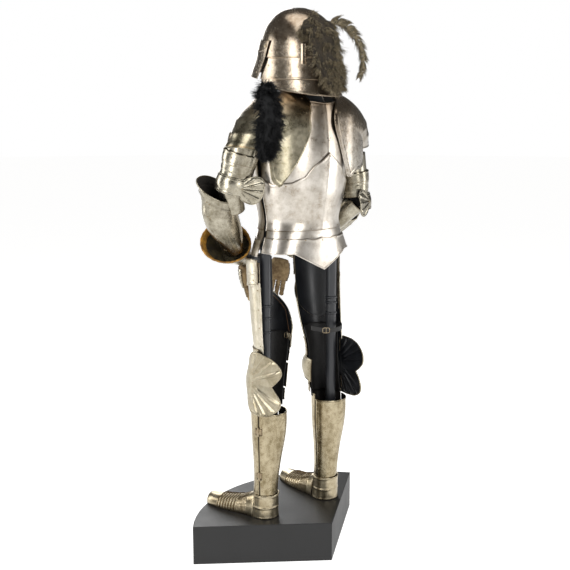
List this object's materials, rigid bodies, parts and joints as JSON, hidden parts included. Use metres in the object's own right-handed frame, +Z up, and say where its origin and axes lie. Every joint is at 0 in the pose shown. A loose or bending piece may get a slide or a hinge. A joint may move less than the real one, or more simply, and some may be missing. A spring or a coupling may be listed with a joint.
{
  "type": "suit of plate armour on a limbless display stand",
  "caption": "Full suit of Gothic plate armour with visored helmet, plumes and gauntlets, standing on a limbless display form with two posts and a wedge-shaped base.",
  "frame": {"origin": "on the floor, at the underside of the stand's base, below the middle of the waist", "axes": "+Z up, the suit faces -Y, its left side is +X"},
  "size_m": [0.7728, 0.5459, 1.899],
  "materials": {
    "steel": "satin steel with brown patina",
    "leather": "worn ochre leather",
    "brown_feather": "olive-brown feathers",
    "black_feather": "black ostrich feathers",
    "stand_paint": "matt dark grey paint",
    "black_cloth": "black cloth cover"
  },
  "bodies": {
    "armour": {"backplate_lower": "steel", "backplate_upper": "steel", "breastplate_lower": "steel", "breastplate_upper": "steel", "couter_L": "steel", "couter_R": "steel", "cuisse_L": "steel", "cuisse_R": "steel", "cuisse_upper_L": "steel", "cuisse_upper_R": "steel", "culet_1": "steel", "culet_2": "steel", "fauld_1": "steel", "fauld_2": "steel", "gauntlet_cuff_L": "steel", "gauntlet_cuff_R": "steel", "gauntlet_hand_L": "steel", "gauntlet_hand_R": "steel", "glove_L": "leather", "glove_R": "leather", "greave_back_L": "steel", "greave_back_R": "steel", "greave_front_L": "steel", "greave_front_R": "steel", "helmet_neck_lame_1": "steel", "helmet_neck_lame_2": "steel", "helmet_skull": "steel", "lower_cannon_L": "steel", "lower_cannon_R": "steel", "pauldron_L": "steel", "pauldron_R": "steel", "plume_feather": "brown_feather", "plume_mass": "brown_feather", "plume_tube": "steel", "poleyn_L": "steel", "poleyn_R": "steel", "poleyn_lower_lame_L": "steel", "poleyn_lower_lame_R": "steel", "poleyn_upper_lame_L": "steel", "poleyn_upper_lame_R": "steel", "sabaton_L": "steel", "sabaton_R": "steel", "sabaton_heel_L": "steel", "sabaton_heel_R": "steel", "shoulder_plume": "black_feather", "stand_base": "stand_paint", "stand_bust": "black_cloth", "stand_post_L": "stand_paint", "stand_post_R": "stand_paint", "tasset_L": "steel", "tasset_R": "steel", "upper_arm_lame_L": "steel", "upper_arm_lame_R": "steel", "upper_cannon_L": "steel", "upper_cannon_R": "steel"},
    "visor": {"helmet_visor": "steel"}
  },
  "joints": [
    {"name": "visor_pivot", "type": "hinge", "parent": "armour", "child": "visor", "pos_m": [0, -0.01, 1.778], "axis": [-1, 0, 0], "range_deg": [0, 45]}
  ]
}
